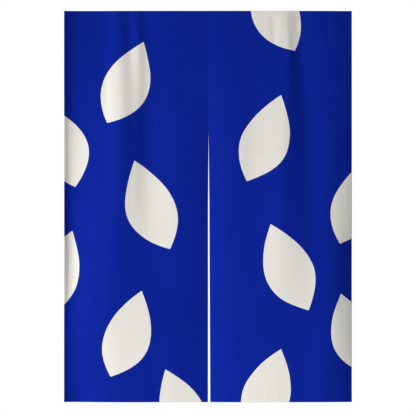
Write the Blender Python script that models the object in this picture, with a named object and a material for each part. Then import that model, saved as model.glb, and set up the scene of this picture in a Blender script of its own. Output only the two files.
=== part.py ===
"""A noren, the split curtain that hangs in a doorway: two cloth panels, joined edge to edge by a short
seam at the top and open below it. The cloth hangs free from its top edge in soft, uneven folds.

Metres, +Z up. The origin is the middle of the top edge, the front faces -Y and the hem is below.
"""

from collections import namedtuple

import bmesh
import bpy

MM = 0.001

WIDTH = 0.883
HEIGHT = 1.200

# The seam between the panels runs a little right of the middle. The slit below it drifts right to the hem.
SEAM_X = 0.0018
SEAM_LENGTH = 0.370
SEAM_GAP = 0.0003
SLIT_DRIFT = 0.0017

# Each panel is one layer of cloth, thicker where its hems and heading are turned over to the back.
CLOTH = 0.0012
HEM_RISE = 0.0008
HEM_FOOT = 0.001
SIDE_HEM = 0.012
BOTTOM_HEM = 0.025
HEADING = 0.045

# Mesh density: the widest column between two fold lines, the fewest columns there, and the height of a row.
COLUMN = 0.013
FEWEST_STEPS = 3
ROW = 0.060

CREASE_ANGLE = 0.9

CLOTH_COLOUR = (0.005, 0.017, 0.262, 1.0)
CLOTH_ROUGHNESS = 0.85

# The six heights that the fold tables speak of, from the top edge to the hem.
LEVELS = (0.0, -0.180, -0.420, -0.760, -0.950, -HEIGHT)

# How far the slit's edges are apart, at shares of the way from the seam's end down to the hem.
SlitWidth = namedtuple("SlitWidth", "down width")
SLIT_WIDTHS = (
    SlitWidth(0.00, SEAM_GAP),
    SlitWidth(0.10, 0.0013),
    SlitWidth(0.28, 0.0040),
    SlitWidth(0.55, 0.0049),
    SlitWidth(1.00, 0.0071),
)

# A fold line runs down the cloth where it bends: its place across the curtain, and its depth, at the six
# heights, in millimetres. Depth is 0 at the seam's top, less towards the front.
Fold = namedtuple("Fold", "name across depth")
Panel = namedtuple("Panel", "name left_depth folds right_depth")

LEFT_PANEL = Panel(
    "left_panel",
    left_depth=(6, 8, 13.5, 16.5, 8, 5.5),
    folds=(
        Fold("edge trough", (-388, -404, -418, -421, -424, -408), (12.5, 14, 17.5, 21.5, 11, 11)),
        Fold("flank", (-322, -330, -335, -352, -365, -345), (10.7, 9.3, 5.6, 5, -2, -1)),
        Fold("main crest", (-273, -264, -263, -272, -285, -252), (4.8, 0, -7.5, -10.7, -12, -11.8)),
        Fold("short trough", (-250, -233, -240, -245, -245, -232), (6.4, 2.4, -5.5, -10.2, -11.8, -12)),
        Fold("short crest", (-217, -214, -215, -215, -215, -206), (2.1, 1.7, -3, -9, -11.2, -12)),
        Fold("long trough", (-193, -186, -187, -175, -175, -180), (4.3, 4.4, -0.2, -7.3, -10.4, -11)),
        Fold("second crest", (-140, -100, -92, -92, -92, -92), (0.7, 0.1, -7, -8.8, -8.4, -8)),
    ),
    right_depth=(0, -1, -1.5, -1, 0.5, -2.5),
)

RIGHT_PANEL = Panel(
    "right_panel",
    left_depth=(0, -1, -1.5, 2, 1, 2),
    folds=(
        Fold("slit crest", (50, 78, 92, 95, 118, 114), (-1.2, -5.4, -11.3, -10.2, -9.3, -11)),
        Fold("shallow trough", (172, 165, 145, 150, 170, 180), (-0.8, -3.1, -9.3, -9.8, -8.3, -10.4)),
        Fold("third crest", (238, 240, 232, 213, 225, 235), (0.2, -3.5, -10.4, -10.8, -6.5, -7.8)),
        Fold("deep trough", (283, 293, 318, 310, 315, 290), (5.6, 4.3, -0.6, -3.3, -0.8, -6)),
        Fold("edge crest", (308, 342, 355, 378, 360, 338), (4.4, 3, -0.9, 0.3, 0.2, -5.2)),
    ),
    right_depth=(14.5, 11.5, 10.3, 16, 18, 11.5),
)


def smooth_step(t, span, start, start_slope, end, end_slope):
    """Value at the share t of a span, on the cubic with the given values and slopes at its ends."""
    return (
        (2 * t**3 - 3 * t**2 + 1) * start
        + (t**3 - 2 * t**2 + t) * span * start_slope
        + (3 * t**2 - 2 * t**3) * end
        + (t**3 - t**2) * span * end_slope
    )


def between_levels(values, z):
    """The value at height z of a smooth curve through one value for each level."""
    last = len(LEVELS) - 1
    i = max(k for k in range(last) if z <= LEVELS[k])
    span = LEVELS[i + 1] - LEVELS[i]

    def slope(k):
        before = max(k - 1, 0)
        after = min(k + 1, last)
        return (values[after] - values[before]) / (LEVELS[after] - LEVELS[before])

    return smooth_step((z - LEVELS[i]) / span, span, values[i], slope(i), values[i + 1], slope(i + 1))


def slit_sides(z):
    """The facing edges of the two panels at height z: 0.3 mm apart in the seam, wider down the slit."""
    down = max(0.0, -z - SEAM_LENGTH) / (HEIGHT - SEAM_LENGTH)
    middle = SEAM_X + SLIT_DRIFT * down
    above, below = next(pair for pair in zip(SLIT_WIDTHS, SLIT_WIDTHS[1:]) if down <= pair[1].down)
    share = (down - above.down) / (below.down - above.down)
    gap = above.width + (below.width - above.width) * share
    return middle - gap / 2, middle + gap / 2


def panel_sides(panel, z):
    """Left and right edge of the panel at height z."""
    left_of_slit, right_of_slit = slit_sides(z)
    if panel is LEFT_PANEL:
        return -WIDTH / 2, left_of_slit
    return right_of_slit, WIDTH / 2


def edge_depth(depths, z):
    """Depth of a panel's edge at height z; along the seam, both facing edges share the mean of the two."""
    facing = (LEFT_PANEL.right_depth, RIGHT_PANEL.left_depth)
    if depths in facing and z > -SEAM_LENGTH:
        return sum(between_levels(each, z) for each in facing) / 2
    return between_levels(depths, z)


def fold_lines(panel, z):
    """Place across and depth, in metres, of the panel's edges and fold lines at height z."""
    left, right = panel_sides(panel, z)
    lines = [(left, MM * edge_depth(panel.left_depth, z))]
    for fold in panel.folds:
        lines.append((MM * between_levels(fold.across, z), MM * between_levels(fold.depth, z)))
    lines.append((right, MM * edge_depth(panel.right_depth, z)))
    return lines


def fold_slopes(lines):
    """Slope of the cloth at each line: level on a crest or trough, steep where it runs on through."""
    rises = [(y1 - y0) / (x1 - x0) for (x0, y0), (x1, y1) in zip(lines, lines[1:])]
    inner = []
    for before, after in zip(rises, rises[1:]):
        runs_on = before * after > 0
        inner.append(3 * before * after / (before + after) if runs_on else 0.0)
    return [2 * rises[0] - inner[0], *inner, 2 * rises[-1] - inner[-1]]


def depth_at(lines, slopes, x):
    """Depth of the cloth at x, on a smooth curve through the fold lines."""
    i = max(k for k in range(len(lines) - 1) if k == 0 or x >= lines[k][0])
    (x0, y0), (x1, y1) = lines[i], lines[i + 1]
    return smooth_step((x - x0) / (x1 - x0), x1 - x0, y0, slopes[i], y1, slopes[i + 1])


def stops(lines):
    """Places across the panel of the foot of its left hem, its fold lines and the foot of its right hem."""
    inner = [x for x, _ in lines[1:-1]]
    return [lines[0][0] + SIDE_HEM + HEM_FOOT, *inner, lines[-1][0] - SIDE_HEM - HEM_FOOT]


def steps_between_stops(panel):
    """How many columns each stretch between two stops is cut into, from its width at its widest level."""
    levels = [stops(fold_lines(panel, z)) for z in LEVELS]
    steps = []
    for starts, ends in zip(zip(*levels), list(zip(*levels))[1:]):
        widest = max(end - start for start, end in zip(starts, ends))
        steps.append(max(FEWEST_STEPS, round(widest / COLUMN)))
    return steps


def columns(lines, steps):
    """Places across the panel for one row of points, the same number in every row."""
    left, right = lines[0][0], lines[-1][0]
    at = stops(lines)
    places = [left, left + SIDE_HEM]
    for start, end, count in zip(at, at[1:], steps):
        places += [start + (end - start) * k / count for k in range(count)]
    return places + [at[-1], right - SIDE_HEM, right]


def spaced(start, end):
    """Heights from start down to just before end, about a row apart."""
    count = round((start - end) / ROW)
    return [start + (end - start) * k / count for k in range(count)]


def rows():
    """Heights of the rows of points, with one at the end of the seam and two at the foot of each hem."""
    heading_foot = -HEADING - HEM_FOOT
    hem_top = BOTTOM_HEM - HEIGHT
    upper = spaced(heading_foot, -SEAM_LENGTH)
    lower = spaced(-SEAM_LENGTH, hem_top + HEM_FOOT)
    return [0.0, -HEADING, *upper, *lower, hem_top + HEM_FOOT, hem_top, -HEIGHT]


def make_material(name):
    material = bpy.data.materials.new(name)
    material.use_nodes = True
    shader = material.node_tree.nodes["Principled BSDF"]
    shader.inputs["Base Color"].default_value = CLOTH_COLOUR
    shader.inputs["Roughness"].default_value = CLOTH_ROUGHNESS
    shader.inputs["Metallic"].default_value = 0.0
    return material


def make_panel(panel):
    """The panel's front as a grid of points on its folds, extruded back by the cloth's thickness."""
    sheet = bmesh.new()
    thickness = sheet.verts.layers.float.new("thickness")
    heights = rows()
    steps = steps_between_stops(panel)
    grid = []
    for r, z in enumerate(heights):
        lines = fold_lines(panel, z)
        slopes = fold_slopes(lines)
        places = columns(lines, steps)
        points = [sheet.verts.new((x, depth_at(lines, slopes, x), z)) for x in places]
        for c, point in enumerate(points):
            turned_over = min(r, c, len(heights) - 1 - r, len(points) - 1 - c) <= 1
            point[thickness] = CLOTH + HEM_RISE * turned_over
        grid.append(points)
    for above, below in zip(grid, grid[1:]):
        for c in range(len(above) - 1):
            sheet.faces.new((above[c], below[c], below[c + 1], above[c + 1]))
    made = bmesh.ops.extrude_face_region(sheet, geom=list(sheet.faces), use_keep_orig=True)
    for item in made["geom"]:
        if isinstance(item, bmesh.types.BMVert):
            item.co.y += item[thickness]
    bmesh.ops.recalc_face_normals(sheet, faces=list(sheet.faces))
    mesh = bpy.data.meshes.new(panel.name)
    sheet.to_mesh(mesh)
    sheet.free()
    mesh.shade_smooth()
    mesh.set_sharp_from_angle(angle=CREASE_ANGLE)
    mesh.materials.append(make_material(panel.name + "_cloth"))
    piece = bpy.data.objects.new(panel.name, mesh)
    bpy.context.scene.collection.objects.link(piece)
    return piece


def clear_scene():
    for old in list(bpy.data.objects):
        bpy.data.objects.remove(old)


def main():
    clear_scene()
    curtain = bpy.data.objects.new("noren_curtain", None)
    bpy.context.scene.collection.objects.link(curtain)
    for panel in (LEFT_PANEL, RIGHT_PANEL):
        make_panel(panel).parent = curtain


main()
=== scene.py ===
"""The looks of a noren, the split curtain of a doorway: printed cloth on the folds of its solids, with
turned hems, stitching and a short seam, in soft studio light.

Metres, +Z up, in the frame of the solids: the origin is the middle of the top edge and the front faces -Y.
"""

import math
from collections import namedtuple

import bpy
import numpy as np
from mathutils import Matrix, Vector


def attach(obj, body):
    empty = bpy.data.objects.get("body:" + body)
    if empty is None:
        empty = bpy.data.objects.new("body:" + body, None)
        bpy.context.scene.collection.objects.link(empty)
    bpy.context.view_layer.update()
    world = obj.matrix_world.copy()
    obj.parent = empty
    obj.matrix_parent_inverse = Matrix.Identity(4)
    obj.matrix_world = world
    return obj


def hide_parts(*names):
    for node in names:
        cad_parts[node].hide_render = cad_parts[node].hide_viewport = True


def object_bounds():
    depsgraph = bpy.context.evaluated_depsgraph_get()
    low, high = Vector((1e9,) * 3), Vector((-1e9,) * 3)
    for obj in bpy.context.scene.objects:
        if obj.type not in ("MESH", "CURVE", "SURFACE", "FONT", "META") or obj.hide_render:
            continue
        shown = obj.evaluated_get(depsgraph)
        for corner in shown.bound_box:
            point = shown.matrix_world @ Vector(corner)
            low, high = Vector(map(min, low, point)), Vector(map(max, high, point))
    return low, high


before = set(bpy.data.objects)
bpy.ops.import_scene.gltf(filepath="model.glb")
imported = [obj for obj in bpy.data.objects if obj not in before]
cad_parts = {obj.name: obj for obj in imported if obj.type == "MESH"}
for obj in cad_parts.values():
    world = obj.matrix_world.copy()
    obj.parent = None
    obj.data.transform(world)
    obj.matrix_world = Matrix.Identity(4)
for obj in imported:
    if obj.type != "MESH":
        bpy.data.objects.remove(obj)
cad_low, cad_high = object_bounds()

# The seam between the panels and the slit below it, in the same places as in the solids.
SEAM_X = 0.0018
SEAM_LENGTH = 0.370
SLIT_DRIFT = 0.0017

# How far the slit's edges are apart, at shares of the way from the seam's end down to the hem. The widths
# follow those of the solids, but begin at 0, because the cloth meets in the seam.
SlitWidth = namedtuple("SlitWidth", "down width")
SLIT_WIDTHS = (
    SlitWidth(0.00, 0.0000),
    SlitWidth(0.10, 0.0012),
    SlitWidth(0.28, 0.0040),
    SlitWidth(0.55, 0.0049),
    SlitWidth(1.00, 0.0071),
)

# One layer of cloth, the three layers of a turned hem, and how wide the hems are. The heading's raw edge is
# turned in once more, and the thickness falls off over a short step at each hem's end.
CLOTH = 0.0005
FOLDED = 0.0015
SIDE_HEM = 0.012
BOTTOM_HEM = 0.025
HEADING = 0.045
HEM_STEP = 0.0006

# Mesh density away from the hems.
COLUMN = 0.0040
ROW = 0.0065

# Extra lines of the mesh at a turned edge: in from the edge, beside the stitches, and past the hem's end.
ROUND_FOLD_LINES = (0.0, 0.0001, 0.00035, FOLDED / 2)
STITCH_LINES = (-0.0015, -0.0006, 0.0, 0.0006)
HEM_END_LINES = (-0.0002, 0.0002, 0.0006, 0.002)

# How a solid's front is read: a face is in front if its normal's Y is under the first value, rows are
# further apart than the second, and a row is full with more than a share of the most points.
FRONT_FACING = -0.5
ROWS_APART = 0.005
FULL_ROW = 0.85

# Stitches of the hems, short pricks on the front and longer on the back, and of the seam between the
# panels, which slant down a little from left to right.
STITCH_INSET = 0.0015
STITCH_PITCH = 0.0050
FRONT_STITCH = 0.0008
BACK_STITCH = 0.0036
SEAM_FIRST_STITCH = 0.004
SEAM_STITCH_PITCH = 0.0016
SEAM_STITCH_REACH = 0.0014
SEAM_STITCH_DROP = 0.0011

# The thread: its radius, how far its middle is off the cloth in radii, and the rings of one stitch, each
# with its share of the way along, its size and its height off the thread's line, again in radii.
THREAD = 0.00015
THREAD_LIFT = 0.3
RING_POINTS = 6
Ring = namedtuple("Ring", "share size lift")
STITCH_RINGS = (
    Ring(0.0, 0.25, -0.6),
    Ring(0.2, 1.0, 0.5),
    Ring(0.8, 1.0, 0.5),
    Ring(1.0, 0.25, -0.6),
)

# How many times tighter the round fold of an edge is where the seam presses it flat, and the length at the
# seam's end over which that fades.
SEAM_PRESS = 4.0
SEAM_END = 0.010

# The waves that sewing draws into the cloth beside a hem, how far from the stitches they reach, and the
# groove that the thread presses into it.
Pucker = namedtuple("Pucker", "wavelength height seed")
PUCKERS = (Pucker(0.030, 0.00035, 0), Pucker(0.009, 0.00012, 10))
PUCKER_REACH = 0.011
GROOVE_REACH = 0.0009
GROOVE_DEPTH = 0.00008

# An uneven wave is the sum of so many plain ones, of lengths between these shares of its own.
WAVES = 5
SHORTEST_WAVE = 0.6
LONGEST_WAVE = 1.6

# The printed ground and motifs, and the same two on the back, where the dye shows through paler.
COBALT = (0.0018, 0.0149, 0.286, 1.0)
COBALT_DEEP = (0.0014, 0.0129, 0.256, 1.0)
CREAM = (0.765, 0.748, 0.698, 1.0)
CREAM_DEEP = (0.715, 0.697, 0.643, 1.0)
BACK_COBALT = (0.016, 0.044, 0.320, 1.0)
BACK_COBALT_DEEP = (0.013, 0.037, 0.285, 1.0)
BACK_CREAM = (0.640, 0.640, 0.625, 1.0)
BACK_CREAM_DEEP = (0.590, 0.590, 0.575, 1.0)
# Thread: the deeper colour of each is painted shade in the grooves between the twisted strands.
THREAD_GROOVE_SHADE = (0.006, 0.022, 0.300, 1.0)
THREAD_BLUE = (0.010, 0.032, 0.380, 1.0)
# The seam's stitches are real, but their thread is painted lighter than the hem's as a painted highlight
# along the seam.
SEAM_THREAD_HIGHLIGHT_GROOVE_SHADE = (0.012, 0.045, 0.380, 1.0)
SEAM_THREAD_HIGHLIGHT = (0.022, 0.070, 0.460, 1.0)
FLOOR_COLOUR = (0.80, 0.79, 0.77, 1.0)

# Creases between the main folds, troughs or, where the depth is negative, ridges: the place across at the
# crease's own middle, its lean per metre down, the stretch it runs down, which may begin above the cloth,
# its half width and its depth.
Crease = namedtuple("Crease", "panel x lean top bottom half_width depth")
CREASES = (
    Crease("left_panel", -0.313, 0.00, 0.25, -0.80, 0.026, 0.0018),
    Crease("left_panel", -0.415, 0.00, -0.25, -1.05, 0.028, 0.0018),
    Crease("left_panel", -0.244, -0.06, 0.00, -0.16, 0.007, 0.0005),
    Crease("left_panel", -0.298, 0.05, -0.10, -0.42, 0.010, -0.0006),
    Crease("left_panel", -0.150, 0.03, -0.22, -0.52, 0.014, -0.0008),
    Crease("left_panel", -0.395, -0.04, -0.50, -0.90, 0.012, -0.0007),
    Crease("left_panel", -0.333, 0.05, -0.62, -1.02, 0.014, 0.0007),
    Crease("left_panel", -0.060, 0.02, -0.78, -1.12, 0.012, 0.0005),
    Crease("right_panel", 0.203, 0.04, 0.02, -0.13, 0.011, 0.0011),
    Crease("right_panel", 0.366, 0.10, 0.02, -0.15, 0.010, 0.0008),
    Crease("right_panel", 0.262, 0.12, 0.00, -0.24, 0.008, 0.0005),
    Crease("right_panel", 0.030, 0.02, -0.10, -0.40, 0.010, -0.0005),
    Crease("right_panel", 0.222, 0.05, -0.30, -0.72, 0.016, -0.0006),
    Crease("right_panel", 0.394, -0.03, -0.60, -1.05, 0.014, -0.0008),
    Crease("right_panel", 0.110, 0.03, -0.85, -1.20, 0.016, 0.0006),
)

# Printed leaves: the middle, the size and the lean of each on the flat cloth, in metres and degrees, and
# how far its spine bends aside, in half widths.
Leaf = namedtuple("Leaf", "x z length width lean bend")
LEAVES = (
    Leaf(-0.250, -0.215, 0.275, 0.140, -24, 0.12),
    Leaf(-0.165, -0.590, 0.290, 0.150, 22, -0.14),
    Leaf(-0.245, -0.985, 0.280, 0.138, -20, 0.10),
    Leaf(-0.445, -0.410, 0.265, 0.135, 18, 0.12),
    Leaf(-0.452, -0.800, 0.270, 0.130, -16, -0.10),
    Leaf(-0.085, -1.215, 0.255, 0.132, 18, 0.10),
    Leaf(0.215, 0.010, 0.280, 0.142, 24, -0.12),
    Leaf(0.175, -0.385, 0.285, 0.145, -22, 0.14),
    Leaf(0.255, -0.780, 0.290, 0.145, 24, -0.10),
    Leaf(0.180, -1.160, 0.275, 0.145, -20, 0.12),
    Leaf(0.452, -0.580, 0.270, 0.135, -18, 0.10),
    Leaf(0.458, -0.985, 0.260, 0.135, 20, -0.12),
)

# How much narrower a leaf gets up from its middle, and the least share of its width that this leaves.
LEAF_TAPER = -0.22
LEAF_LEAST = 0.5

# How far the edge of the print wanders and how many times a metre, and how softly it ends on the front
# and on the back, as a share of a leaf's half width.
WANDER = 0.010
WANDER_NOISE = 6.0
FRONT_SOFTNESS = 0.004
BACK_SOFTNESS = 0.012

# The weave: the width of a yarn, its relief, and how much uneven yarns add to it.
YARN = 0.00055
WEAVE_HEIGHT = 0.00006
WEAVE_STRENGTH = 0.5
UNEVEN_YARNS = 0.8

# How fast the cloth's tone changes along and across its yarns, and in patches, and the tones that make up
# the whole range between two colours.
WEFT_NOISE = (22.0, 420.0, 1.0)
WARP_NOISE = (420.0, 14.0, 1.0)
PATCH_NOISE = 6.0
PATCHES = 0.7
TONES = (0.95, 1.75)

# The shine of the cloth.
FRONT_ROUGHNESS = 0.82
BACK_ROUGHNESS = 0.86
UNEVEN_ROUGHNESS = 0.05
CLOTH_SPECULAR = 0.055
SHEEN = 0.010
SHEEN_ROUGHNESS = 0.45
SHEEN_TINT = (0.35, 0.45, 1.0, 1.0)

# The twist and the shine of the sewing thread.
TWIST = 1400.0
TWIST_HEIGHT = 0.00003
TWIST_STRENGTH = 0.4
THREAD_ROUGHNESS = (0.62, 0.50)
THREAD_SPECULAR = 0.25

# The photograph's frame: its camera looks square at the cloth from far off.
FRAME_WIDTH = 1.2755
LENS = 400.0
SENSOR = 36.0
AIM_X = 0.0001
AIM_Z = -0.6047
CLIP_END = 100.0

# The studio: the floor, the lights and the surroundings, which look white but light the cloth only a little.
HANGING_HEIGHT = 1.9
FLOOR_RADIUS = 2.4
FLOOR_CORNERS = 96
FLOOR_NOISE = 3.0
FLOOR_PATCHES = 0.97
FLOOR_ROUGHNESS = 0.8
KEY_STRENGTH = 4.6
KEY_SOFTNESS = math.radians(28)
KEY_TURN = math.radians(64)
KEY_DISTANCE = 4
KEY_HEIGHT = 0.2
Lamp = namedtuple("Lamp", "name energy size place target")
LAMPS = (
    Lamp("low_fill", 22.5, 1.4, (0.05, -2.1, -1.75), (0.0, 0.0, -1.2)),
    Lamp("rear", 130.0, 2.5, (1.6, 3.4, 0.6), (0.0, 0.0, -0.6)),
)
WHITE_SEEN = 1.0
WHITE_LIGHT = 0.06

# The two sides, each with the seed of its uneven waves.
SEEDS = {"left": 11, "right": 47}


def slit_sides(z):
    """The facing edges of the two panels at heights z: together in the seam, apart down the slit."""
    down = np.clip(-z - SEAM_LENGTH, 0, None) / (-cad_low.z - SEAM_LENGTH)
    middle = SEAM_X + SLIT_DRIFT * down
    width = np.interp(down, [row.down for row in SLIT_WIDTHS], [row.width for row in SLIT_WIDTHS])
    return middle - width / 2, middle + width / 2


def panel_sides(node, z):
    """Left and right edge of a panel at heights z."""
    left_of_slit, right_of_slit = slit_sides(z)
    if node == "left_panel":
        return np.full_like(z, cad_low.x), left_of_slit
    return right_of_slit, np.full_like(z, cad_high.x)


def smooth_through(places, values, at):
    """Values at the places asked of a smooth curve through the given ones, along the first axis."""
    slopes = np.gradient(values, places, axis=0)
    i = np.clip(np.searchsorted(places, at) - 1, 0, len(places) - 2)
    span = places[i + 1] - places[i]
    t = (at - places[i]) / span
    if values.ndim > 1:
        t = t[:, None]
        span = span[:, None]
    start = (2 * t**3 - 3 * t**2 + 1) * values[i] + (t**3 - 2 * t**2 + t) * span * slopes[i]
    end = (3 * t**2 - 2 * t**3) * values[i + 1] + (t**3 - t**2) * span * slopes[i + 1]
    return start + end


def front_rows(node):
    """The points on the front of a solid, as (height, places across, depths) for each row, lowest first."""
    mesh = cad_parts[node].data
    rows = {}
    for face in mesh.polygons:
        if face.normal.y < FRONT_FACING:
            for i in face.vertices:
                point = mesh.vertices[i].co
                rows.setdefault(round(point.z, 4), {})[round(point.x, 5)] = point.y
    most = max(len(row) for row in rows.values())
    full = []
    for z in sorted(rows):
        far_enough = not full or z - full[-1][0] > ROWS_APART
        if len(rows[z]) > FULL_ROW * most and far_enough:
            across = np.array(sorted(rows[z]))
            full.append((z, across, np.array([rows[z][x] for x in across])))
    return full


def hem_distances(hem):
    """Distances from a turned edge at which the mesh has a line: round fold, stitches and the hem's end."""
    near = [hem - STITCH_INSET + offset for offset in STITCH_LINES]
    ends = [hem + offset for offset in HEM_END_LINES]
    count = max(2, round((near[0] - ROUND_FOLD_LINES[-1]) / COLUMN))
    filling = np.linspace(ROUND_FOLD_LINES[-1], near[0], count + 1)[1:-1]
    return np.array([*ROUND_FOLD_LINES, *filling, *near, *ends])


def lines_between(start, end, low_hem, high_hem, step):
    """Places from start to end: the lines of both hems, and even ones between them."""
    low = start + hem_distances(low_hem)
    high = end - hem_distances(high_hem)[::-1]
    count = round((high[0] - low[-1]) / step)
    return np.concatenate([low, np.linspace(low[-1], high[0], count + 1)[1:-1], high])


def soft_step(edge, softness, value):
    """0 below the edge and 1 above it, with a smooth rise around it that is as wide as the softness."""
    t = np.clip((value - edge) / softness + 0.5, 0, 1)
    return t * t * (3 - 2 * t)


def ripple(along, wavelength, seed):
    """An uneven wave of about that wavelength, between -1 and 1."""
    random = np.random.default_rng(seed)
    total = 0
    for _ in range(WAVES):
        length = wavelength * random.uniform(SHORTEST_WAVE, LONGEST_WAVE)
        total = total + np.sin(2 * math.pi * along / length + random.uniform(0, 2 * math.pi))
    return total / WAVES


class Panel:
    """The grid of one panel: places across and down, front and back depth, and places on the flat cloth."""

    def __init__(self, node, seed):
        self.node = node
        height = cad_high.z - cad_low.z
        down = lines_between(0.0, height, HEADING, BOTTOM_HEM, ROW)
        self.z = (cad_high.z - down)[:, None]
        left, right = panel_sides(node, self.z)
        widest = float((right - left).max())
        from_left = lines_between(0.0, widest, SIDE_HEM, SIDE_HEM, COLUMN)[None, :]
        narrowing = (right - left) - widest
        way_across = np.clip((from_left - SIDE_HEM * 2) / (widest - SIDE_HEM * 4), 0, 1)
        self.x = left + from_left + narrowing * way_across
        self.z = np.broadcast_to(self.z, self.x.shape)
        self.top = cad_high.z - self.z
        self.bottom = self.z - cad_low.z
        self.left = np.broadcast_to(from_left, self.x.shape)
        self.right = np.broadcast_to(widest - from_left, self.x.shape)
        self.front = self.fold_depth() + self.creases() + self.puckers(seed)
        self.round_off()
        self.flat_x = self.flat_places()

    def fold_depth(self):
        """Depth of the solid's front under every point of the grid."""
        rows = front_rows(self.node)
        heights = np.array([row[0] for row in rows])
        columns = np.arange(self.x.shape[1])
        order = np.argsort(self.z[:, 0])
        at_rows = []
        for z, across, depths in rows:
            x = [np.interp(z, self.z[order, 0], self.x[order, c]) for c in columns]
            at_rows.append(smooth_through(across, depths, np.array(x)))
        return smooth_through(heights, np.array(at_rows), self.z[:, 0])

    def creases(self):
        """The creases between the main folds, each fading out at both of its ends."""
        total = np.zeros(self.x.shape)
        for crease in CREASES:
            if crease.panel == self.node:
                middle = (crease.top + crease.bottom) / 2
                reach = (crease.top - crease.bottom) / 2
                along = np.clip((self.z - middle) / reach, -1, 1)
                place = crease.x + crease.lean * (middle - self.z)
                across = (self.x - place) / crease.half_width
                total += crease.depth * (1 - along**2) ** 2 * np.exp(-(across**2))
        return total

    def puckers(self, seed):
        """The small waves that sewing draws into the cloth beside each hem."""
        total = 0
        hems = (
            (self.left, SIDE_HEM, self.z),
            (self.right, SIDE_HEM, self.z),
            (self.bottom, BOTTOM_HEM, self.x),
            (self.top, HEADING, self.x),
        )
        for k, (distance, hem, along) in enumerate(hems):
            off_stitches = distance - (hem - STITCH_INSET)
            near = np.exp(-((off_stitches / PUCKER_REACH) ** 2))
            groove = np.exp(-((off_stitches / GROOVE_REACH) ** 2))
            for pucker in PUCKERS:
                wave = ripple(along, pucker.wavelength, seed + pucker.seed + k)
                total = total + near * pucker.height * wave
            total = total + groove * GROOVE_DEPTH
        return total

    def round_off(self):
        """Adds the thickness: three layers in the hems, one elsewhere, and a round fold at every edge."""
        inside = np.minimum(
            np.minimum(self.left - SIDE_HEM, self.right - SIDE_HEM),
            np.minimum(self.top - HEADING, self.bottom - BOTTOM_HEM),
        )
        thick = FOLDED - (FOLDED - CLOTH) * soft_step(0, HEM_STEP, inside)
        pressed = 1 + (SEAM_PRESS - 1) * soft_step(0, SEAM_END, SEAM_LENGTH - self.top)
        left_press, right_press = (1, pressed) if self.node == "left_panel" else (pressed, 1)
        side = np.minimum(self.left * left_press, self.right * right_press)
        edge = np.minimum(side, np.minimum(self.top, self.bottom))
        into = np.clip(edge / (FOLDED / 2), 0, 1)
        drawn_in = thick / 2 * (1 - np.sqrt(1 - (1 - into) ** 2))
        self.turned_over = inside < 0
        self.back = self.front + thick - drawn_in
        self.front = self.front + drawn_in

    def flat_places(self):
        """Places across the flat cloth: distances along the folds, from the panel's middle."""
        steps = np.hypot(np.diff(self.x, axis=1), np.diff(self.front, axis=1))
        run = np.concatenate([np.zeros((len(self.x), 1)), np.cumsum(steps, axis=1)], axis=1)
        middle = self.x.shape[1] // 2
        return run - run[:, middle : middle + 1] + self.x[:, middle : middle + 1]


def quads(index):
    """Corners of the faces of a grid of point numbers, counter-clockwise seen from the front."""
    corners = index[:-1, :-1], index[1:, :-1], index[1:, 1:], index[:-1, 1:]
    return np.stack(corners, axis=-1).reshape(-1, 4)


def mesh_object(name, points, faces, materials):
    mesh = bpy.data.meshes.new(name)
    mesh.from_pydata(points.tolist(), [], faces.tolist())
    for material in materials:
        mesh.materials.append(material)
    mesh.shade_smooth()
    made = bpy.data.objects.new(name, mesh)
    bpy.context.scene.collection.objects.link(made)
    return made


def make_cloth(panel, name, printed, reverse):
    """The panel as one closed sheet: front, back and the round folds between them."""
    shape = panel.x.shape
    front = np.arange(panel.x.size).reshape(shape)
    rim = np.ones(shape, bool)
    rim[1:-1, 1:-1] = False
    back = front.copy()
    back[~rim] = panel.x.size + np.arange((~rim).sum())
    front_points = np.stack([panel.x, panel.front, panel.z], axis=-1)
    back_points = np.stack([panel.x, panel.back, panel.z], axis=-1)
    points = np.concatenate([front_points.reshape(-1, 3), back_points[~rim]])
    front_faces = quads(front)
    back_faces = quads(back)[:, ::-1]
    cloth = mesh_object(name, points, np.concatenate([front_faces, back_faces]), [printed, reverse])
    lay_print(cloth, panel)
    return cloth


def lay_print(cloth, panel):
    """Gives each face its place on the flat cloth and its material: hems turn the front over to the back."""
    flat = np.stack([panel.flat_x, panel.z], axis=-1)
    turned = flat.copy()
    left, right = panel.left < SIDE_HEM, panel.right < SIDE_HEM
    top, bottom = panel.top < HEADING, panel.bottom < BOTTOM_HEM
    turned[..., 0] = np.where(left, 2 * flat[:, :1, 0] - flat[..., 0], turned[..., 0])
    turned[..., 0] = np.where(right, 2 * flat[:, -1:, 0] - flat[..., 0], turned[..., 0])
    turned[..., 1] = np.where(top, 2 * flat[:1, :, 1] - flat[..., 1], turned[..., 1])
    turned[..., 1] = np.where(bottom, 2 * flat[-1:, :, 1] - flat[..., 1], turned[..., 1])
    corner = quads(np.arange(panel.x.size).reshape(panel.x.shape))
    hem_face = panel.turned_over.reshape(-1)[corner].all(axis=1)
    back_corner = corner[:, ::-1]
    flat = flat.reshape(-1, 2)
    back_flat = np.where(hem_face[:, None, None], turned.reshape(-1, 2)[back_corner], flat[back_corner])
    places = np.concatenate([flat[corner], back_flat])
    layer = cloth.data.uv_layers.new(name="Flat")
    layer.data.foreach_set("uv", places.astype(np.float32).ravel())
    material = np.concatenate([np.zeros(len(corner), int), np.where(hem_face, 0, 1)])
    cloth.data.polygons.foreach_set("material_index", material)


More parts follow.
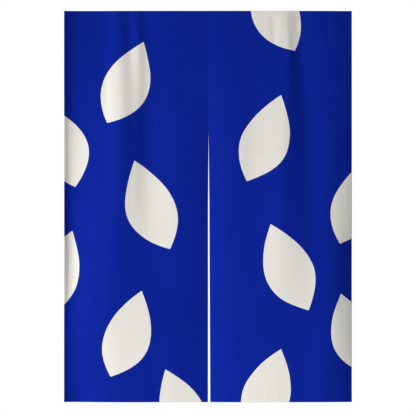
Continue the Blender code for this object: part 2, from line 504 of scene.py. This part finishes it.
def stitches_along(starts, ends, outward):
    """Points and faces of a thread from each start to its end: rings that rise off the cloth and dip."""
    starts, ends = np.asarray(starts), np.asarray(ends)
    run = ends - starts
    along = run / np.linalg.norm(run, axis=1, keepdims=True)
    out = np.broadcast_to(np.array([0.0, outward, 0.0]), along.shape)
    side = np.cross(along, out)
    side = side / np.linalg.norm(side, axis=1, keepdims=True)
    turn = np.arange(RING_POINTS) * 2 * math.pi / RING_POINTS
    circle = np.cos(turn)[None, :, None] * side[:, None] + np.sin(turn)[None, :, None] * out[:, None]
    rings = []
    for ring in STITCH_RINGS:
        middle = starts + run * ring.share + out * THREAD * ring.lift
        rings.append(middle[:, None] + THREAD * ring.size * circle)
    points = np.stack(rings, axis=1)
    count, levels = len(starts), len(STITCH_RINGS)
    number = np.arange(count * levels * RING_POINTS).reshape(count, levels, RING_POINTS)
    beside = np.roll(number, -1, axis=2)
    sides = np.stack([number[:, :-1], beside[:, :-1], beside[:, 1:], number[:, 1:]], axis=-1)
    first, last = number[:, 0, :], number[:, -1, :]
    caps = []
    for rim in (first[:, ::-1], last):
        caps += [rim[:, [0, 1, 2, 3]], rim[:, [0, 3, 4, 5]]]
    return points.reshape(-1, 3), np.concatenate([sides.reshape(-1, 4), *caps])


def stitch_line(line, length, outward):
    """Starts and ends of the stitches of a straight run of sewing along a line of points on the cloth."""
    run = np.concatenate([[0.0], np.cumsum(np.linalg.norm(np.diff(line, axis=0), axis=1))])
    begin = np.arange(STITCH_PITCH, run[-1] - STITCH_PITCH, STITCH_PITCH)
    lift = np.array([0.0, outward * THREAD * THREAD_LIFT, 0.0])

    def on_line(at):
        return np.stack([np.interp(at, run, line[:, k]) for k in range(3)], axis=1) + lift

    return on_line(begin), on_line(begin + length)


def join(parts):
    """One set of points and faces from several."""
    points, faces, count = [], [], 0
    for part_points, part_faces in parts:
        points.append(part_points)
        faces.append(part_faces + count)
        count += len(part_points)
    return np.concatenate(points), np.concatenate(faces)


def nearest(values, target):
    """Number of the value that is closest to the target."""
    return int(np.argmin(np.abs(values - target)))


def make_stitching(panel, name, material):
    """The rows of stitches of a panel's hems, on its front and back."""
    rows = [
        nearest(panel.top[:, 0], HEADING - STITCH_INSET),
        nearest(panel.bottom[:, 0], BOTTOM_HEM - STITCH_INSET),
    ]
    columns = [
        nearest(panel.left[0], SIDE_HEM - STITCH_INSET),
        nearest(panel.right[0], SIDE_HEM - STITCH_INSET),
    ]
    parts = []
    for depth, length, outward in ((panel.front, FRONT_STITCH, -1.0), (panel.back, BACK_STITCH, 1.0)):
        points = np.stack([panel.x, depth, panel.z], axis=-1)
        for row in rows:
            parts.append(stitches_along(*stitch_line(points[row, 2:-2], length, outward), outward))
        for column in columns:
            parts.append(stitches_along(*stitch_line(points[2:-2, column], length, outward), outward))
    return mesh_object(name, *join(parts), [material])


def make_seam(left, right, material):
    """The stitches that join the panels' facing edges from the top down to the slit."""
    heights = np.arange(-SEAM_FIRST_STITCH, -SEAM_LENGTH, -SEAM_STITCH_PITCH)
    parts = []
    for depths, outward in (("front", -1.0), ("back", 1.0)):
        ends = []
        for panel, near_seam, drop in ((left, left.right, 0.0), (right, right.left, SEAM_STITCH_DROP)):
            column = nearest(near_seam[0], SEAM_STITCH_REACH)
            order = np.argsort(panel.z[:, column])
            at = heights - drop
            z = panel.z[order, column]
            x = np.interp(at, z, panel.x[order, column])
            y = np.interp(at, z, getattr(panel, depths)[order, column])
            ends.append(np.stack([x, y + outward * THREAD * THREAD_LIFT, at], axis=1))
        parts.append(stitches_along(ends[0], ends[1], outward))
    return mesh_object("seam_stitching", *join(parts), [material])


class Graph:
    """Short ways to add nodes to a material and link them."""

    def __init__(self, name):
        self.material = bpy.data.materials.new(name)
        self.material.use_nodes = True
        self.nodes = self.material.node_tree.nodes
        self.links = self.material.node_tree.links
        self.shader = self.nodes["Principled BSDF"]

    def put(self, socket, value):
        if isinstance(value, bpy.types.NodeSocket):
            self.links.new(value, socket)
        else:
            socket.default_value = value

    def math(self, operation, *values):
        node = self.nodes.new("ShaderNodeMath")
        node.operation = operation
        for socket, value in zip(node.inputs, values):
            self.put(socket, value)
        return node.outputs[0]

    def mix(self, share, first, second):
        node = self.nodes.new("ShaderNodeMix")
        node.data_type = "RGBA"
        self.put(node.inputs[0], share)
        colour_a, colour_b = [s for s in node.inputs if s.type == "RGBA"]
        self.put(colour_a, first)
        self.put(colour_b, second)
        return next(s for s in node.outputs if s.type == "RGBA")

    def noise(self, vector, scale, detail):
        node = self.nodes.new("ShaderNodeTexNoise")
        self.put(node.inputs["Vector"], vector)
        node.inputs["Scale"].default_value = scale
        node.inputs["Detail"].default_value = detail
        return node

    def stretched(self, vector, scale):
        node = self.nodes.new("ShaderNodeMapping")
        self.put(node.inputs["Vector"], vector)
        node.inputs["Scale"].default_value = scale
        return node.outputs[0]

    def flat_places(self):
        node = self.nodes.new("ShaderNodeUVMap")
        node.uv_map = "Flat"
        return node.outputs[0]

    def split(self, vector):
        node = self.nodes.new("ShaderNodeSeparateXYZ")
        self.put(node.inputs[0], vector)
        return node.outputs[0], node.outputs[1]

    def remap(self, value, low, high, to_low, to_high, smooth=False):
        node = self.nodes.new("ShaderNodeMapRange")
        node.interpolation_type = "SMOOTHSTEP" if smooth else "LINEAR"
        for socket, setting in zip(node.inputs, (value, low, high, to_low, to_high)):
            self.put(socket, setting)
        return node.outputs[0]

    def bump(self, height, strength, distance):
        node = self.nodes.new("ShaderNodeBump")
        node.inputs["Strength"].default_value = strength
        node.inputs["Distance"].default_value = distance
        self.put(node.inputs["Height"], height)
        self.put(self.shader.inputs["Normal"], node.outputs[0])


def leaf_reach(graph, places, leaf):
    """How far inside a leaf's outline a place is, as a share of its half width; below 0 is outside."""
    node = graph.nodes.new("ShaderNodeMapping")
    node.vector_type = "TEXTURE"
    graph.put(node.inputs["Vector"], places)
    node.inputs["Location"].default_value = (leaf.x, leaf.z, 0)
    node.inputs["Rotation"].default_value = (0, 0, math.radians(leaf.lean))
    node.inputs["Scale"].default_value = (leaf.width / 2, leaf.length / 2, 1)
    across, along = graph.split(node.outputs[0])
    belly = graph.math("SUBTRACT", 1.0, graph.math("MULTIPLY", along, along))
    taper = graph.math("MULTIPLY_ADD", along, LEAF_TAPER, 1.0)
    fuller_below = graph.math("MAXIMUM", taper, LEAF_LEAST)
    half_width = graph.math("MULTIPLY", belly, fuller_below)
    spine = graph.math("MULTIPLY", graph.math("MAXIMUM", belly, 0.0), leaf.bend)
    off_spine = graph.math("ABSOLUTE", graph.math("SUBTRACT", across, spine))
    return graph.math("SUBTRACT", half_width, off_spine)


def printed_share(graph, places, softness):
    """1 on the printed leaves and 0 on the ground, with the slightly uneven edge of a hand-cut stencil."""
    wander = graph.noise(places, WANDER_NOISE, detail=1.0).outputs["Color"]
    shift = graph.nodes.new("ShaderNodeVectorMath")
    shift.operation = "MULTIPLY_ADD"
    graph.put(shift.inputs[0], wander)
    shift.inputs[1].default_value = (WANDER, WANDER, 0.0)
    graph.put(shift.inputs[2], places)
    moved = shift.outputs[0]
    reach = leaf_reach(graph, moved, LEAVES[0])
    for leaf in LEAVES[1:]:
        reach = graph.math("MAXIMUM", reach, leaf_reach(graph, moved, leaf))
    return graph.remap(reach, -softness, softness, 0.0, 1.0, smooth=True)


def weave(graph, places):
    """Height of a plain weave: threads over and under each other."""
    x, z = graph.split(places)
    thread = math.pi / YARN
    warp = graph.math("SINE", graph.math("MULTIPLY", x, thread))
    weft = graph.math("SINE", graph.math("MULTIPLY", z, thread))
    return graph.math("MULTIPLY", warp, weft)


def cloth_material(name, ground, motif, softness, roughness):
    """Printed plain-weave cloth. ground and motif each give the colours of fuller and thinner yarns."""
    graph = Graph(name)
    places = graph.flat_places()
    share = printed_share(graph, places, softness)
    weft_yarns = graph.noise(graph.stretched(places, WEFT_NOISE), 1.0, detail=3.0).outputs[0]
    warp_yarns = graph.noise(graph.stretched(places, WARP_NOISE), 1.0, detail=3.0).outputs[0]
    patches = graph.noise(places, PATCH_NOISE, detail=2.0).outputs[0]
    yarns = graph.math("ADD", weft_yarns, warp_yarns)
    tone = graph.math("MULTIPLY_ADD", patches, PATCHES, yarns)
    tone = graph.remap(tone, *TONES, 0.0, 1.0)
    ground_colour = graph.mix(tone, ground[0], ground[1])
    motif_colour = graph.mix(tone, motif[0], motif[1])
    graph.put(graph.shader.inputs["Base Color"], graph.mix(share, ground_colour, motif_colour))
    uneven = graph.remap(tone, 0.0, 1.0, roughness - UNEVEN_ROUGHNESS, roughness + UNEVEN_ROUGHNESS)
    graph.put(graph.shader.inputs["Roughness"], uneven)
    graph.shader.inputs["Specular IOR Level"].default_value = CLOTH_SPECULAR
    graph.shader.inputs["Sheen Weight"].default_value = SHEEN
    graph.shader.inputs["Sheen Roughness"].default_value = SHEEN_ROUGHNESS
    graph.shader.inputs["Sheen Tint"].default_value = SHEEN_TINT
    height = graph.math("MULTIPLY_ADD", yarns, UNEVEN_YARNS, weave(graph, places))
    graph.bump(height, WEAVE_STRENGTH, WEAVE_HEIGHT)
    return graph.material


def thread_material(name, groove_shade, light):
    """Sewing thread: twisted strands, a little glossier than the cloth, with painted shade: its colour is
    deeper in the grooves between the strands, where the relief is low.
    """
    graph = Graph(name)
    coordinates = graph.nodes.new("ShaderNodeTexCoord").outputs["Object"]
    strands = graph.nodes.new("ShaderNodeTexWave")
    graph.put(strands.inputs["Vector"], coordinates)
    strands.bands_direction = "DIAGONAL"
    strands.inputs["Scale"].default_value = TWIST
    tone = strands.outputs["Fac"]
    # Painted shade: the thread's colour follows the twist's relief and is deeper in the grooves between the
    # strands.
    graph.put(graph.shader.inputs["Base Color"], graph.mix(tone, groove_shade, light))
    graph.put(graph.shader.inputs["Roughness"], graph.remap(tone, 0.0, 1.0, *THREAD_ROUGHNESS))
    graph.shader.inputs["Specular IOR Level"].default_value = THREAD_SPECULAR
    graph.bump(tone, TWIST_STRENGTH, TWIST_HEIGHT)
    return graph.material


def floor_material():
    graph = Graph("pale_floor")
    places = graph.nodes.new("ShaderNodeTexCoord").outputs["Object"]
    patches = graph.noise(places, FLOOR_NOISE, detail=4.0).outputs[0]
    darker = (*(FLOOR_PATCHES * c for c in FLOOR_COLOUR[:3]), 1.0)
    graph.put(graph.shader.inputs["Base Color"], graph.mix(patches, FLOOR_COLOUR, darker))
    graph.shader.inputs["Roughness"].default_value = FLOOR_ROUGHNESS
    return graph.material


def make_camera():
    camera = bpy.data.objects.new("camera", bpy.data.cameras.new("camera"))
    camera.data.sensor_width = SENSOR
    camera.data.lens = LENS
    distance = FRAME_WIDTH * LENS / SENSOR
    camera.location = (AIM_X, -distance, AIM_Z)
    camera.rotation_euler = (math.pi / 2, 0, 0)
    camera.data.clip_end = CLIP_END
    bpy.context.scene.collection.objects.link(camera)
    bpy.context.scene.camera = camera


def aim(light, place, target):
    light.location = place
    light.rotation_euler = (Vector(target) - Vector(place)).to_track_quat("-Z", "Y").to_euler()
    bpy.context.scene.collection.objects.link(light)


def make_lights():
    """A broad key from the left, a low soft light in front, another behind, and white surroundings."""
    middle = (0.0, 0.0, cad_low.z / 2)
    key = bpy.data.lights.new("key", "SUN")
    key.energy = KEY_STRENGTH
    key.angle = KEY_SOFTNESS
    place = (-KEY_DISTANCE * math.sin(KEY_TURN), -KEY_DISTANCE * math.cos(KEY_TURN), KEY_HEIGHT)
    aim(bpy.data.objects.new("key", key), place, middle)
    for lamp in LAMPS:
        light = bpy.data.lights.new(lamp.name, "AREA")
        light.energy = lamp.energy
        light.size = lamp.size
        aim(bpy.data.objects.new(lamp.name, light), lamp.place, lamp.target)

    world = bpy.data.worlds.new("studio")
    bpy.context.scene.world = world
    world.use_nodes = True
    nodes, links = world.node_tree.nodes, world.node_tree.links
    background = nodes["Background"]
    background.inputs["Color"].default_value = (1.0, 1.0, 1.0, 1.0)
    strength = nodes.new("ShaderNodeMapRange")
    strength.inputs["To Min"].default_value = WHITE_LIGHT
    strength.inputs["To Max"].default_value = WHITE_SEEN
    links.new(nodes.new("ShaderNodeLightPath").outputs["Is Camera Ray"], strength.inputs["Value"])
    links.new(strength.outputs[0], background.inputs["Strength"])


def make_floor():
    """A plain round floor, as far below the curtain's top as a doorway's."""
    bpy.ops.mesh.primitive_circle_add(
        vertices=FLOOR_CORNERS,
        radius=FLOOR_RADIUS,
        fill_type="NGON",
        location=(0, 0, cad_high.z - HANGING_HEIGHT),
    )
    floor = bpy.context.object
    floor.name = "floor"
    floor.data.materials.append(floor_material())


def main():
    make_camera()
    printed = cloth_material(
        "printed_cloth", (COBALT, COBALT_DEEP), (CREAM, CREAM_DEEP), FRONT_SOFTNESS, FRONT_ROUGHNESS
    )
    reverse = cloth_material(
        "cloth_reverse",
        (BACK_COBALT, BACK_COBALT_DEEP),
        (BACK_CREAM, BACK_CREAM_DEEP),
        BACK_SOFTNESS,
        BACK_ROUGHNESS,
    )
    thread = thread_material("sewing_thread", THREAD_GROOVE_SHADE, THREAD_BLUE)
    # The seam's thread carries a painted highlight: it is lighter than the hem's thread.
    seam_thread = thread_material("seam_thread", SEAM_THREAD_HIGHLIGHT_GROOVE_SHADE, SEAM_THREAD_HIGHLIGHT)
    panels = {}
    pieces = {}
    for side, seed in SEEDS.items():
        panel = Panel(side + "_panel", seed)
        panels[side] = panel
        cloth = make_cloth(panel, side + "_cloth", printed, reverse)
        stitching = make_stitching(panel, side + "_stitching", thread)
        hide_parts(panel.node)
        pieces[side] = (cloth, stitching)
    seam = make_seam(panels["left"], panels["right"], seam_thread)
    left_cloth, left_stitching = pieces["left"]
    right_cloth, right_stitching = pieces["right"]
    for piece in (left_cloth, left_stitching, right_cloth, right_stitching, seam):
        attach(piece, "root")
    make_lights()
    make_floor()
    bpy.context.scene.view_settings.view_transform = "Standard"


main()
